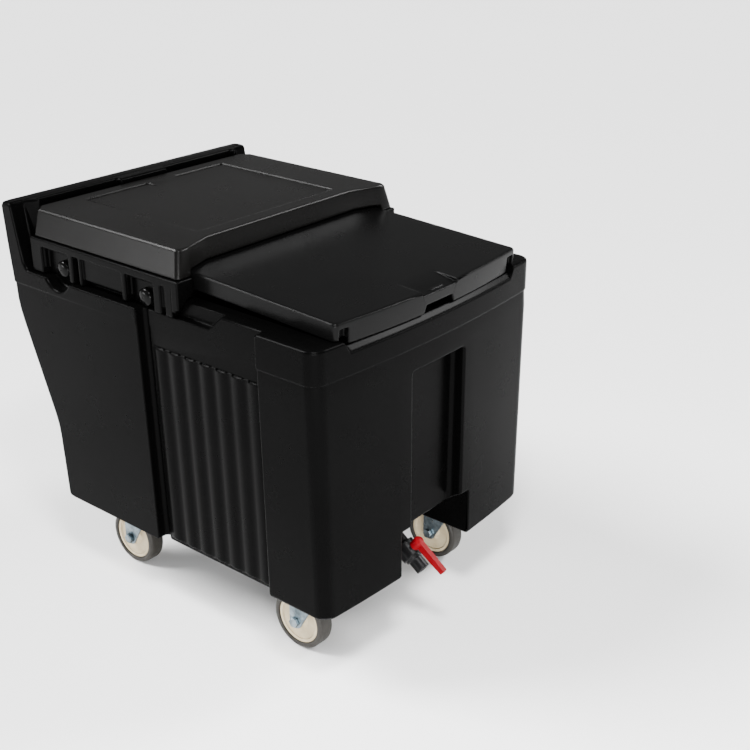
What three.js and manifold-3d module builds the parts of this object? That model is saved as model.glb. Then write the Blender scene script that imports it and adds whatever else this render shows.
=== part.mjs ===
import * as THREE from "three";
import { mergeVertices } from "three/addons/utils/BufferGeometryUtils.js";
import Module from "manifold-3d";

// Mobile ice bin: a double-walled moulded tub on four swivel casters, with a front lid that
// slides back under a fixed rear cover, a push rail, and a drain valve in a bay at the front.
// Millimetres, +Z up, the front faces -Y, the origin on the floor under the middle of the bin.

const wasm = await Module();
wasm.setup();

// Fits that hold all through
const seat = 0.3; // gap between pieces that touch
const running = 0.4; // gap round a turning or sliding piece
const overrun = 6; // how far a cutter runs past what it cuts
const mergeDistance = 1e-4;
// A rounded edge in three points: how far along and how far in
const edgeShares = [
  [0, 1],
  [0.3, 0.3],
  [1, 0],
];

// Tub, overall
const binWidth = 585; // across the front corner blocks
const bodyLength = 765; // middle of the bowed front to the back of the push rail
const rimHeight = 623; // floor to the rim under the lid
const railRise = 93; // top of the push rail above the rim
const frontBow = 14.5;
const baseBow = 11; // of the front at the base
const frontLean = 7; // the front corners come forward this far, from the rim down to the base
const frontCornerRadius = 26;
const rearCornerRadius = 9;
const frontDraft = 11; // each side, from the rim down to the base
const rearDraft = 16; // each side, from the rail down to the base
const bandDrop = 58; // rim to the parting line of the wall
const bandStep = 1.2;
const baseEdge = 7; // rounded bottom edge
const railEdge = 8; // rounded top edge of the rail

// Tub, rear wall: it leans in below the rail so that the legs have room
const railOverhang = 92;
const lowerBendRise = 153; // above the base
const lowerBendOut = 4;
const upperBendDrop = 109; // below the rim
const upperBendIn = 15.5;
const bendRise = 22;

// Tub, sides: front corner block, fluted panel, groove and rear half
const blockDepth = 123;
const panelLength = 264.5;
const panelInset = 13.5;
const fluteCount = 7;
const fluteProud = 4;
const fluteMargin = 4; // plain wall before the first flute and after the last
const fluteDrop = 93; // tops of the flutes below the rim
const grooveWidth = 16;
const grooveDepth = 8;

// Tub, rim: a lower seat for the cover frame on the rear half, inside it an upstand
const seatDrop = 28;
const upstandInset = 30.5; // outer face of the upstand from the bin's side
const rampFoot = 244; // behind the front corners
const rampRun = 31.5;
const wingRun = 6; // foot of the rail's ends, ahead of the rail
const sillDrop = 19; // front edge of the sloped sill under the lid, below the rim
const sillRise = 8.5; // of its slope, before it runs level into the well
const sillInset = 75.5;
const sillRun = 11; // slope of its ends
const scoopChord = 62;
const scoopDepth = 19;
const scoopFromBack = 139.5;

// Tub, push rail with its two hand grips
const railThickness = 52.5;
const railBlockInset = 52.5;
const railBlockSlant = 22;
const gripDepth = 13;
const gripHeight = 56;
const gripPost = 58;

// Tub, inside
const wellSideWall = 60.5;
const wellDraft = 8;
const wellFrontWall = 48;
const wellRearWall = 42;
const wellTopSetback = 82;
const wellCornerRadius = 44;
const wellFloorEdge = 12;
const floorThickness = 30;
const wellStep = 24; // the front wall starts to step this far above the valve bay
const wellStepRise = 48;

// Tub, front: shallow upright recess over the valve bay
const panelHalfWidth = 70;
const panelDrop = 100; // top of the recess below the rim
const panelDepth = 25;
const panelFillet = 9;
const bayHalfWidth = 96;
const bayHeight = 75;
const bayMouthRise = 17; // the bay's ceiling slopes up towards the front
const bayMouthRun = 27;
const bayDepth = 110.5;
const bayCornerRadius = 7;
const bayWall = 32;

// Drain shelf
const shelfThickness = 4;
const shelfClearance = 5;
const shelfFoot = 12;
const shelfHoleRadius = 8;
const shelfHoleSides = 8;
const shelfRows = 4;
const shelfColumns = 6;
const shelfHoleMargin = 30; // from the notches and the feet
const shelfNotchWidth = 110;
const shelfNotchDepth = 46;

// Drain
const drainX = -17;
const drainRise = 2;
const tubeRadius = 13;
const boreRadius = 8;
const flangeRadius = 20;
const flangeThickness = 4;
const gasketThickness = 2.5;
const nutAcrossFlats = 36;
const nutThickness = 7;
const sumpMargin = 20; // beside the flange of the drain fitting
const sumpDrop = 2.5; // below the flange
const sumpLength = 60;
const threadEngagement = 9;

// Drain valve: an inclined body with a ball, and a red lever on top that lies along the spout
const valveInclineDegrees = 35.3;
const elbowSetback = 10;
const valveLength = 99.5;
const ballAlong = 59;
const valveTubeRadius = 13.5;
const socketRadius = 18;
const housingRadius = 20;
const housingBack = 18; // reach of the housing behind and ahead of the ball
const housingFront = 12;
const housingTaper = 5;
const ballRadius = 12;
const ballBore = 7;
const stemRadius = 4.5;
const stemBossRadius = 9;
const stemBossProud = 0.5; // above the housing
const stemProud = 15.5; // above its boss
const leverLength = 70;
const leverWidth = 10;
const leverRootDepth = 15;
const leverTipDepth = 11.5;
const leverHubRadius = 10;
const leverHubCap = 5.5; // above the stem's end
const leverCap = 1; // the hub's dome stands this far above the bar

// Rear cover: shell over a frame
const coverLift = 37; // above the rim
const coverDepth = 48;
const coverInset = 28.5; // at the top, from the bin's side
const coverFlare = 11;
const coverWall = 6;
const coverPostLead = 79.5; // ahead of the front knobs, at the top
const coverPostWidth = 26;
const coverMouthSetback = 19;
const coverMouthSlant = 56;
const coverFrontFlare = 8;
const coverEdge = 3;
const coverCornerRadius = 9;
const coverRearCorner = 15;
const insetDepth = 2.5;
const insetSide = 92; // edge of the inset panel from the cover's side
const insetLead = 33; // behind the mouth
const insetRearSetback = 84;
const bridgeLeft = 21; // the step behind the inset panel fades out between these places
const bridgeRight = 45;
const bridgeRun = 26;

const frameLead = 2; // ahead of the shell's posts
const frameProud = 4.5;
const flangeHeight = 14;
const skirtThickness = 12;
const skirtLift = 11; // above the tub's lower seat
const gussetHeight = 28;
const gussetRun = 36;
const gussetWidth = 15;
const frameRearBar = 22;
const frameRearGap = 1.5; // ahead of the foot of the rail's ends
const slotFloorWeb = 3;
const slotRise = 46; // top of the knob slots above the tub's lower seat
const ledgeOverhang = 6;
// Slots in the frame's skirt: reach ahead of and behind the head of their knob
const frontSlotLead = 14;
const frontSlotTail = 24;
const rearSlotLead = 3;
const rearSlotTail = 30;
// Upright ribs of the skirt: how far they start ahead of or behind their knob, and their width
const frontRibLead = 74;
const frontRibWidth = 16;
const slotRibLead = 47;
const slotRibWidth = 17;
const frontRibTail = 40;
const thinRibLead = 60;
const thinRibWidth = 7;
const rearRibLead = 37;
const rearRibWidth = 11;
const rearRibTail = 48;
const tailRibWidth = 10;

// Quarter-turn knobs that hold the frame
const knobHeadRadius = 15.5;
const knobRim = 5;
const knobDome = 6;
const knobShankRadius = 5;
const knobGap = 1.5; // above the tub's lower seat
const knobReach = 12; // into the upstand

// Sliding lid
const lidInset = 51.5; // from the bin's side
const lidOverlap = 24; // of the closed lid under the mouth of the cover
const lidThickness = 30;
const lidSetback = 4; // behind the tub's front corners
const lidBow = 15.5;
const lidInclineDegrees = 2.6;
const lidCornerRadius = 9;
const lidEdge = 4.5;
const lidRunningGap = 2; // under the mouth of the cover
const lidSideGap = 2.4;
const lidLipGap = 1.8; // over the sill
const lidLipSideGap = 5; // beside the sill's ends
const lidLipDepth = 5;
const thumbHalfWidth = 46;
const thumbRun = 55;
const thumbDrop = 7;
const thumbBarHalfWidth = 17;
const thumbBarSetback = 8;
const thumbBarDepth = 5;
const thumbBarHeight = 2.5;
const pullHalfWidth = 34;
const pullSlant = 8;
const pullHeight = 14; // above the foot of the lip
const pullDepth = 10;
const endNotchInset = 29;
const endNotchWidth = 20;
const endNotchHeight = 18;
const endNotchDepth = 8;

// Casters
const wheelDiameter = 111;
const wheelWidth = 32;
const casterInset = 99.8; // swivel axis from the bin's side
const casterFrontSetback = 114; // swivel axis behind the bowed front
const casterRearSetback = 213.5; // swivel axis ahead of the back of the rail
const casterTrail = 28;
const plateLength = 96;
const plateWidth = 76;
const plateThickness = 4;
const plateBoltInset = 12;
const boltHeadFlats = 13;
const boltHeadHeight = 5;
const raceRadius = 29;
const raceHeight = 9;
const crownClearance = 14.7; // between the tyre and the fork's crown, and so the tub's height
const crownGap = 1;
const crownThickness = 4;
const crownRadius = 27;
const kingpinRadius = 6;
const kingpinHeadRadius = 11;
const kingpinHead = 4;
const legThickness = 4;
const legEndRadius = 14;
const legShoulder = 12;
const forkGap = 1.5; // between the tyre and each leg
const tyreDepth = 10.5;
const tyreShoulder = 6;
const tyreInnerEdge = 2.5;
const hubRadius = 15;
const hubProud = 0.8;
const webDish = 3.5;
const rimLip = 5;
const sleeveRadius = 6.5;
const axleRadius = 5;
const axleHeadFlats = 17;
const axleHeadHeight = 6.5;
const axleNutHeight = 8;

// Smoothness of the round forms
const wheelSides = 24;
const roundSides = 20;
const smallSides = 12;
const cornerSteps = 6;
const bowSteps = 5;
const fluteSteps = 5;

// Places worked out from the sizes above
const forkHeight = crownClearance + crownThickness + crownGap; // from the tyre to the race
const baseHeight = wheelDiameter + forkHeight + raceHeight + plateThickness + seat;
const sideX = binWidth / 2;
const upstandX = sideX - upstandInset;
const sillX = sideX - sillInset;
const railBlockX = sideX - railBlockInset;
const wellX = sideX - wellSideWall;
const coverX = sideX - coverInset;
const lidX = sideX - lidInset;
const casterX = sideX - casterInset;
const rearY = bodyLength / 2;
const frontY = -rearY;
const footY = frontY - frontLean; // clear of the front, also where it comes forward
const cornerY = frontY + frontBow;
const railHeight = rimHeight + railRise;
const seatHeight = rimHeight - seatDrop;
const bandHeight = rimHeight - bandDrop;
const lowerBendHeight = baseHeight + lowerBendRise;
const upperBendHeight = rimHeight - upperBendDrop;
const blockBackY = cornerY + blockDepth;
const grooveFrontY = blockBackY + panelLength;
const grooveBackY = grooveFrontY + grooveWidth;
const scoopY = rearY - scoopFromBack;
const knobYs = [(grooveFrontY + grooveBackY) / 2, scoopY];
const knobZ = seatHeight + knobGap + knobHeadRadius;
const sillHeight = rimHeight - sillDrop + sillRise;
const wellFloor = baseHeight + floorThickness;
const bayTop = baseHeight + bayHeight;
const bayBackY = frontY + bayDepth;
const wellFootFrontY = bayBackY + bayWall;
const wellFrontY = frontY + wellFrontWall;
const wellRearTopY = rearY - wellTopSetback;
const railFrontY = rearY - railThickness;
const wingDepth = railThickness + wingRun;
const coverFoot = rimHeight + coverLift;
const coverHeight = coverFoot + coverDepth;
const coverPostY = knobYs[0] - coverPostLead;
const coverMouthY = coverPostY + coverMouthSetback;
const frameFrontY = coverPostY - coverFrontFlare - frameLead;
const frameRearY = rearY - wingDepth - frameRearGap;
const coverRearY = frameRearY + coverEdge;
const rearBarY = frameRearY - frameRearBar;
const slotReach = [
  [frontSlotLead, frontSlotTail],
  [rearSlotLead, rearSlotTail],
];
const frontRibs = [
  [-frontRibLead, frontRibWidth],
  [-slotRibLead, slotRibWidth],
  [frontRibTail, tailRibWidth],
];
const rearRibs = [
  [-thinRibLead, thinRibWidth],
  [-rearRibLead, rearRibWidth],
  [rearRibTail, frameRearY - knobYs[1] - rearRibTail],
];
const frameTop = coverFoot - seat;
const frameFoot = rimHeight + seat;
const railInnerX = lidX + lidSideGap;
const skirtInnerX = upstandX + seat;
const skirtOuterX = skirtInnerX + skirtThickness;
const lidIncline = THREE.MathUtils.degToRad(lidInclineDegrees);
const lidFrontY = cornerY + lidSetback;
const lidLength = (coverMouthY + lidOverlap - lidFrontY) / Math.cos(lidIncline);
const lidFoot = rimHeight + seat;
const lidLipDrop = lidFoot - sillHeight - lidLipGap;
const axleHeight = wheelDiameter / 2;
const drainZ = wellFloor + drainRise;

// Mesh tools

function solidFrom(geometry) {
  const bare = geometry.clone();
  bare.deleteAttribute("normal");
  bare.deleteAttribute("uv");
  const merged = mergeVertices(bare, mergeDistance);
  return new wasm.Manifold(
    new wasm.Mesh({
      numProp: 3,
      vertProperties: merged.attributes.position.array,
      triVerts: new Uint32Array(merged.index.array),
    }),
  );
}

function geometryFrom(solid) {
  const mesh = solid.getMesh();
  const geometry = new THREE.BufferGeometry();
  geometry.setAttribute("position", new THREE.BufferAttribute(mesh.vertProperties, 3));
  geometry.setIndex(new THREE.BufferAttribute(mesh.triVerts, 1));
  geometry.computeVertexNormals();
  return geometry;
}

function union(solids) {
  return solids.reduce((sum, next) => sum.add(next));
}

// A box between two corners
function box(low, high) {
  const size = high.map((value, axis) => value - low[axis]);
  const middle = high.map((value, axis) => (value + low[axis]) / 2);
  return solidFrom(new THREE.BoxGeometry(...size).translate(...middle));
}

function extruded(points, depth) {
  const shape = new THREE.Shape(points.map(([a, b]) => new THREE.Vector2(a, b)));
  return new THREE.ExtrudeGeometry(shape, { depth, bevelEnabled: false });
}

// Prisms: an outline in one plane, run between two places along the axis across it
function prismAlongX(points, from, to) {
  const turn = new THREE.Matrix4().set(0, 0, 1, from, 1, 0, 0, 0, 0, 1, 0, 0, 0, 0, 0, 1);
  return solidFrom(extruded(points, to - from).applyMatrix4(turn));
}

function prismAlongY(points, from, to) {
  const turn = new THREE.Matrix4().set(1, 0, 0, 0, 0, 0, -1, to, 0, 1, 0, 0, 0, 0, 0, 1);
  return solidFrom(extruded(points, to - from).applyMatrix4(turn));
}

function prismAlongZ(points, from, to) {
  return solidFrom(extruded(points, to - from).translate(0, 0, from));
}

// A round bar from one point to another
function rod(from, to, radius, sides = roundSides) {
  const start = new THREE.Vector3(...from);
  const end = new THREE.Vector3(...to);
  const along = end.clone().sub(start);
  const geometry = new THREE.CylinderGeometry(radius, radius, along.length(), sides);
  geometry.applyQuaternion(
    new THREE.Quaternion().setFromUnitVectors(
      new THREE.Vector3(0, 1, 0),
      along.clone().normalize(),
    ),
  );
  geometry.translate(...start.add(end).divideScalar(2).toArray());
  return solidFrom(geometry);
}

function ball(centre, radius, sides = roundSides) {
  const geometry = new THREE.SphereGeometry(radius, sides, sides / 2);
  return solidFrom(geometry.translate(...centre));
}

// A turned piece: radius and height pairs round the Z axis
function turned(profile, sides = roundSides) {
  const points = profile.map(([radius, height]) => new THREE.Vector2(radius, height));
  return new THREE.LatheGeometry(points, sides).rotateX(Math.PI / 2);
}

// A hexagon across its flats
function hexagon(flats, centre = [0, 0]) {
  const radius = flats / Math.sqrt(3);
  return Array.from({ length: 6 }, (_, side) => {
    const angle = (side * Math.PI) / 3;
    return [centre[0] + radius * Math.cos(angle), centre[1] + radius * Math.sin(angle)];
  });
}

function arc(centre, radius, fromDegrees, toDegrees, steps) {
  return Array.from({ length: steps + 1 }, (_, step) => {
    const share = step / steps;
    const angle = THREE.MathUtils.degToRad(fromDegrees + (toDegrees - fromDegrees) * share);
    return [centre[0] + radius * Math.cos(angle), centre[1] + radius * Math.sin(angle)];
  });
}

// A loft through rings of [x, y, z], each ring anticlockwise from above, lowest first
function loft(rings) {
  const count = rings[0].length;
  const positions = rings.flat(2);
  const index = [];
  for (let ring = 0; ring < rings.length - 1; ring++) {
    for (let point = 0; point < count; point++) {
      const next = (point + 1) % count;
      const a = ring * count + point;
      const b = ring * count + next;
      index.push(a, b, b + count, a, b + count, a + count);
    }
  }
  const outline = rings[0].map(([x, y]) => new THREE.Vector2(x, y));
  const top = (rings.length - 1) * count;
  for (const [a, b, c] of THREE.ShapeUtils.triangulateShape(outline, [])) {
    index.push(a, c, b, top + a, top + b, top + c);
  }
  const geometry = new THREE.BufferGeometry();
  geometry.setAttribute("position", new THREE.Float32BufferAttribute(positions, 3));
  geometry.setIndex(index);
  return solidFrom(geometry);
}

function mirrored(points) {
  return [...points, ...points.map(([x, y]) => [-x, y]).reverse().filter(([x]) => x < 0)];
}

// Half of a plan, from the middle of the front round to the back, then mirrored
function plan({ halfWidth, front, rear, bow, frontRadius, rearRadius }) {
  const straight = halfWidth - frontRadius;
  const bowed = Array.from({ length: bowSteps }, (_, step) => {
    const x = (straight * step) / bowSteps;
    return [x, front - bow * (1 - (x / straight) ** 2)];
  });
  const half = [
    ...bowed,
    ...arc([straight, front + frontRadius], frontRadius, -90, 0, cornerSteps),
    ...arc([halfWidth - rearRadius, rear - rearRadius], rearRadius, 0, 90, cornerSteps),
  ];
  return mirrored(half);
}

function atHeight(points, height) {
  return points.map(([x, y]) => [x, y, height]);
}

function between(height, [lowHeight, lowValue], [highHeight, highValue]) {
  const share = (height - lowHeight) / (highHeight - lowHeight);
  return lowValue + (highValue - lowValue) * share;
}

// Tub

function rearWallY(height) {
  const wallFootY = rearY - railOverhang;
  const line = [
    [baseHeight, wallFootY],
    [lowerBendHeight, wallFootY + lowerBendOut],
    [upperBendHeight, rearY - upperBendIn],
    [railHeight, rearY],
  ];
  const next = line.findIndex(([level]) => height <= level);
  return between(height, line[Math.max(next, 1) - 1], line[Math.max(next, 1)]);
}

// Rounded bend: the wall's place a little above and below it, and halfway at the bend itself
function bendRings(height) {
  const low = rearWallY(height - bendRise);
  const high = rearWallY(height + bendRise);
  const middle = (low + high + 2 * rearWallY(height)) / 4;
  return [
    [height - bendRise, low],
    [height, middle],
    [height + bendRise, high],
  ];
}

function frontHalfWidth(height) {
  const lowest = [baseHeight, sideX - frontDraft];
  return Math.min(between(height, lowest, [bandHeight, sideX - bandStep]), sideX);
}

function rearHalfWidth(height) {
  const lowest = [baseHeight, sideX - rearDraft];
  return between(height, lowest, [railHeight, sideX]);
}

// The bowed front at a height, for a plan
function frontAt(height) {
  const level = Math.min(height, rimHeight);
  return {
    front: cornerY - between(level, [rimHeight, 0], [baseHeight, frontLean]),
    bow: between(level, [rimHeight, frontBow], [baseHeight, baseBow]),
  };
}

function tubBlock() {
  const levels = [
    ...edgeShares.map(([rise, inset]) => {
      const height = baseHeight + baseEdge * rise;
      return [height, rearWallY(height), baseEdge * inset];
    }),
    ...bendRings(lowerBendHeight).map(([height, rear]) => [height, rear, 0]),
    ...bendRings(upperBendHeight).map(([height, rear]) => [height, rear, 0]),
    [bandHeight, rearWallY(bandHeight), bandStep],
    [bandHeight + bandStep, rearWallY(bandHeight), 0],
    ...edgeShares.toReversed().map(([drop, inset]) => {
      const height = railHeight - railEdge * drop;
      return [height, rearWallY(height), railEdge * inset];
    }),
  ];
  const rings = levels.map(([height, rear, inset]) =>
    atHeight(
      plan({
        halfWidth: (height > bandHeight ? sideX : frontHalfWidth(height)) - inset,
        front: frontAt(height).front + inset,
        rear: rear - inset,
        bow: frontAt(height).bow,
        frontRadius: frontCornerRadius,
        rearRadius: rearCornerRadius,
      }),
      height,
    ),
  );
  return loft(rings);
}

// The front edge of the rail's ends: how far up, and how far from the back
function wingEdge(footHeight) {
  const wingShares = [
    [0, 1],
    [0.03, 0.91],
    [0.12, 0.8],
    [0.45, 0.675],
    [0.93, 0.53],
    [1, 0.46],
  ];
  const rise = railHeight - footHeight;
  const edge = wingShares.map(([up, back]) => [rearY - wingDepth * back, footHeight + rise * up]);
  return [...edge, [rearY - wingDepth * wingShares.at(-1)[1], railHeight + overrun]];
}

function aboveRim() {
  const outline = [[frontY - overrun, rimHeight], ...wingEdge(rimHeight)];
  outline.push([frontY - overrun, railHeight + overrun]);
  return prismAlongX(outline, -binWidth, binWidth);
}

function mirroredX(make) {
  return union([1, -1].map((side) => make(side)));
}

// Puts an outline on one side of the bin, keeping it anticlockwise
function sided(points, side) {
  return side > 0 ? points : points.map(([x, y]) => [-x, y]).reverse();
}

function frameSeat(side) {
  const rampY = cornerY + rampFoot;
  const outline = [[rampY, seatHeight], ...wingEdge(seatHeight)];
  outline.push([rampY - rampRun, railHeight + overrun]);
  outline.push([rampY - rampRun, rimHeight]);
  const reach = [upstandX, binWidth].map((x) => x * side).sort((a, b) => a - b);
  return prismAlongX(outline, ...reach);
}

// Wedge outside the drafted wall, between two places along Y
function besideWall(side, inset, fromY, toY) {
  const top = railHeight + overrun;
  const outline = [
    [rearHalfWidth(baseHeight - overrun) - inset - bandStep, baseHeight - overrun],
    [binWidth, baseHeight - overrun],
    [binWidth, top],
    [rearHalfWidth(top) - inset, top],
    [rearHalfWidth(bandHeight) - inset, bandHeight + bandStep],
    [rearHalfWidth(bandHeight) - inset - bandStep, bandHeight],
  ];
  return prismAlongY(sided(outline, side), fromY, toY);
}

function flutes(side) {
  const pitch = (panelLength - 2 * fluteMargin) / fluteCount;
  const crest = Array.from({ length: fluteCount * fluteSteps + 1 }, (_, step) => {
    const share = (step % fluteSteps) / fluteSteps;
    const height = step === fluteCount * fluteSteps ? 0 : Math.sin(Math.PI * share);
    return [fluteProud * height, blockBackY + fluteMargin + pitch * (step / fluteSteps)];
  });
  const back = [
    [-fluteProud, crest.at(-1)[1]],
    [-fluteProud, crest[0][1]],
  ];
  const ring = (height) => {
    const foot = rearHalfWidth(height) - panelInset - bandStep;
    return atHeight(sided([...crest, ...back].map(([x, y]) => [foot + x, y]), side), height);
  };
  return loft([ring(baseHeight + baseEdge), ring(rimHeight - fluteDrop)]);
}

function groove(side) {
  const radius = grooveWidth / 2;
  const depth = panelInset + grooveDepth;
  const middleY = (grooveFrontY + grooveBackY) / 2;
  const ring = (height) => {
    const bottom = rearHalfWidth(height) - depth + radius;
    const outline = [
      ...arc([bottom, middleY], radius, 90, 270, cornerSteps),
      [binWidth, grooveFrontY],
      [binWidth, grooveBackY],
    ];
    return atHeight(sided(outline, side), height);
  };
  return loft([ring(baseHeight - overrun), ring(seatHeight + seatDrop + overrun)]);
}

function scoop(side) {
  const radius = ((scoopChord / 2) ** 2 + scoopDepth ** 2) / (2 * scoopDepth);
  const centreZ = seatHeight - scoopDepth + radius;
  const from = [upstandX * side, scoopY, centreZ];
  return rod(from, [binWidth * side, scoopY, centreZ], radius, roundSides + smallSides);
}

function railBlock() {
  const outerX = railBlockX + railBlockSlant;
  const slantY = railFrontY + railBlockSlant;
  const backY = rearY - railEdge - overrun;
  const outline = [
    [outerX, backY],
    [-outerX, backY],
    [-outerX, slantY],
    [-railBlockX, railFrontY],
    [railBlockX, railFrontY],
    [outerX, slantY],
  ];
  const edged = outline.map(([x, y]) => [x, y > slantY ? y : y + railEdge / 2]);
  const top = railHeight - seat;
  return loft([
    atHeight(outline, seatHeight + overrun),
    atHeight(outline, top - railEdge / 2),
    atHeight(edged, top),
  ]);
}

function gripPockets() {
  const backY = railFrontY + gripDepth;
  const low = railHeight - gripHeight;
  return mirroredX((side) => {
    const ends = [gripPost, railBlockX].map((x) => x * side).sort((a, b) => a - b);
    return box([ends[0], railFrontY - overrun, low], [ends[1], backY, railHeight + overrun]);
  });
}

// What is cut away over the sill, which slopes up from the bowed front and then runs level
function overSill() {
  const low = rimHeight - sillDrop;
  const outline = [
    [-sillX, low],
    [sillX, low],
    [sillX + sillRun, rimHeight],
    [sillX + sillRun, rimHeight + overrun],
    [-sillX - sillRun, rimHeight + overrun],
    [-sillX - sillRun, rimHeight],
  ];
  const ring = (height, inset) =>
    atHeight(
      plan({
        halfWidth: sideX,
        front: frontAt(height).front + inset,
        rear: rearY,
        bow: frontAt(height).bow,
        frontRadius: frontCornerRadius,
        rearRadius: rearCornerRadius,
      }),
      height,
    );
  const sill = loft([ring(low, 0), ring(sillHeight, sillRise)]);
  return prismAlongY(outline, footY - overrun, wellFrontY + wellCornerRadius).subtract(sill);
}

function well() {
  const rearAt = (height) => Math.min(rearWallY(height) - wellRearWall, wellRearTopY);
  const levels = [
    [wellFloor, wellFootFrontY, wellFloorEdge],
    [wellFloor + wellFloorEdge, wellFootFrontY, 0],
    [bayTop + wellStep, wellFootFrontY, 0],
    [bayTop + wellStep + wellStepRise, wellFrontY, 0],
    [bayTop + wellStep + wellStepRise + bendRise, wellFrontY, 0],
    [upperBendHeight - bendRise, wellFrontY, 0],
    [rimHeight + overrun, wellFrontY, 0],
  ];
  const rings = levels.map(([height, front, inset]) => {
    const draft = between(height, [wellFloor, wellDraft], [rimHeight, 0]);
    return atHeight(
      plan({
        halfWidth: wellX - draft - inset,
        front: front + (inset && seat),
        rear: rearAt(height) - inset,
        bow: 0,
        frontRadius: wellCornerRadius,
        rearRadius: wellCornerRadius,
      }),
      height,
    );
  });
  return loft(rings);
}

function frontPanel() {
  const back = frontY + panelDepth;
  const inner = panelHalfWidth - panelFillet;
  const half = [
    [panelHalfWidth, footY - overrun],
    ...arc([inner, back - panelFillet], panelFillet, 0, 90, cornerSteps),
  ];
  return prismAlongZ(mirrored(half), baseHeight + bayHeight / 2, rimHeight - panelDrop);
}

function bayArch(top) {
  const corner = [bayHalfWidth - bayCornerRadius, top - bayCornerRadius];
  const half = [
    [bayHalfWidth, baseHeight - overrun],
    ...arc(corner, bayCornerRadius, 0, 90, cornerSteps),
  ];
  return mirrored(half);
}

function valveBay() {
  const slope = bayMouthRise / bayMouthRun;
  const mouthBackY = frontY + bayMouthRun;
  const startY = footY - overrun;
  const startTop = bayTop + slope * (mouthBackY - startY);
  const underSlope = [
    [startY, baseHeight - overrun],
    [mouthBackY, baseHeight - overrun],
    [mouthBackY, bayTop],
    [startY, startTop],
  ];
  const mouth = prismAlongY(bayArch(startTop), startY, mouthBackY);
  const back = prismAlongY(bayArch(bayTop), startY, bayBackY);
  return back.add(mouth.intersect(prismAlongX(underSlope, -binWidth, binWidth)));
}

function sump() {
  const halfWidth = flangeRadius + sumpMargin;
  const low = [drainX - halfWidth, wellFootFrontY, drainZ - flangeRadius - sumpDrop];
  const high = [drainX + halfWidth, wellFootFrontY + sumpLength, drainZ + flangeRadius];
  return box(low, high);
}

function drainHole() {
  const ends = [bayBackY - overrun, wellFootFrontY + overrun];
  return rod([drainX, ends[0], drainZ], [drainX, ends[1], drainZ], tubeRadius + seat);
}

function knobSocket(side, y) {
  const inner = (upstandX - knobReach - running) * side;
  const outer = (upstandX + overrun) * side;
  return rod([inner, y, knobZ], [outer, y, knobZ], knobShankRadius + running, smallSides);
}

function tubBody() {
  const cutters = [
    aboveRim(),
    mirroredX(frameSeat),
    mirroredX((side) => besideWall(side, 0, knobYs[0], bodyLength)),
    mirroredX((side) => besideWall(side, panelInset, blockBackY, knobYs[0])),
    mirroredX(groove),
    mirroredX(scoop),
    overSill(),
    well(),
    frontPanel(),
    valveBay(),
    sump(),
    drainHole(),
    mirroredX((side) => union(knobYs.map((y) => knobSocket(side, y)))),
  ];
  const outer = cutters.reduce((body, cutter) => body.subtract(cutter), tubBlock());
  return outer.add(mirroredX(flutes)).add(railBlock()).subtract(gripPockets());
}

// Drain shelf: a perforated plate on six feet, with a finger notch at the front and the rear
function shelf() {
  const low = drainZ + flangeRadius + shelfClearance;
  const edgeX = wellX - wellDraft - shelfClearance;
  const front = wellFootFrontY + shelfClearance;
  const rear = rearWallY(low) - wellRearWall - shelfClearance;
  const outline = plan({
    halfWidth: edgeX,
    front,
    rear,
    bow: 0,
    frontRadius: wellCornerRadius,
    rearRadius: wellCornerRadius,
  });
  const middleY = (front + rear) / 2;
  const edgeToRow = shelfNotchDepth + shelfHoleMargin;
  const rowPitch = (rear - front - 2 * edgeToRow) / (shelfRows - 1);
  const edgeToColumn = wellCornerRadius + shelfHoleMargin;
  const columnPitch = (2 * (edgeX - edgeToColumn)) / (shelfColumns - 1);
  const plate = prismAlongZ(outline, low, low + shelfThickness);
  const holes = [];
  for (let row = 0; row < shelfRows; row++) {
    for (let column = 0; column < shelfColumns; column++) {
      const x = (column - (shelfColumns - 1) / 2) * columnPitch;
      const y = middleY + (row - (shelfRows - 1) / 2) * rowPitch;
      const ends = [low - overrun, low + shelfThickness + overrun];
      holes.push(rod([x, y, ends[0]], [x, y, ends[1]], shelfHoleRadius, shelfHoleSides));
    }
  }
  for (const edge of [front, rear]) {
    const ends = [edge - shelfNotchDepth, edge + shelfNotchDepth];
    const half = shelfNotchWidth / 2;
    const over = low + shelfThickness + overrun;
    holes.push(box([drainX - half, ends[0], low - overrun], [drainX + half, ends[1], over]));
  }
  const feet = [];
  for (const side of [1, -1]) {
    for (const place of [-1, 0, 1]) {
      const x = side * (edgeX - wellCornerRadius);
      const y = middleY + place * (middleY - front - wellCornerRadius);
      feet.push(rod([x, y, wellFloor + seat], [x, y, low + seat], shelfFoot, smallSides));
    }
  }
  return union([plate.subtract(union(holes)), ...feet]);
}

// Drain fitting through the wall of the bay

function alongDrain(geometry) {
  return solidFrom(geometry.rotateX(-Math.PI / 2).translate(drainX, wellFootFrontY, drainZ));
}

function bulkhead() {
  const outerEnd = -(bayWall + nutThickness + threadEngagement);
  const flangeStart = gasketThickness + 2 * seat;
  const flangeEnd = flangeStart + flangeThickness;
  return alongDrain(
    turned([
      [boreRadius, outerEnd],
      [tubeRadius, outerEnd],
      [tubeRadius, flangeStart],
      [flangeRadius, flangeStart],
      [flangeRadius, flangeEnd],
      [boreRadius, flangeEnd],
      [boreRadius, outerEnd],
    ]),
  );
}

function gasket() {
  const inner = tubeRadius + seat;
  const outer = flangeRadius - seat;
  return alongDrain(
    turned([
      [inner, seat],
      [outer, seat],
      [outer, seat + gasketThickness],
      [inner, seat + gasketThickness],
      [inner, seat],
    ]),
  );
}

function bulkheadNut() {
  const from = bayBackY - seat - nutThickness;
  const nut = prismAlongY(hexagon(nutAcrossFlats, [drainX, drainZ]), from, from + nutThickness);
  const ends = [from - overrun, bayBackY + overrun];
  const hole = rod([drainX, ends[0], drainZ], [drainX, ends[1], drainZ], tubeRadius + seat);
  return nut.subtract(hole);
}

// Drain valve

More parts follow.
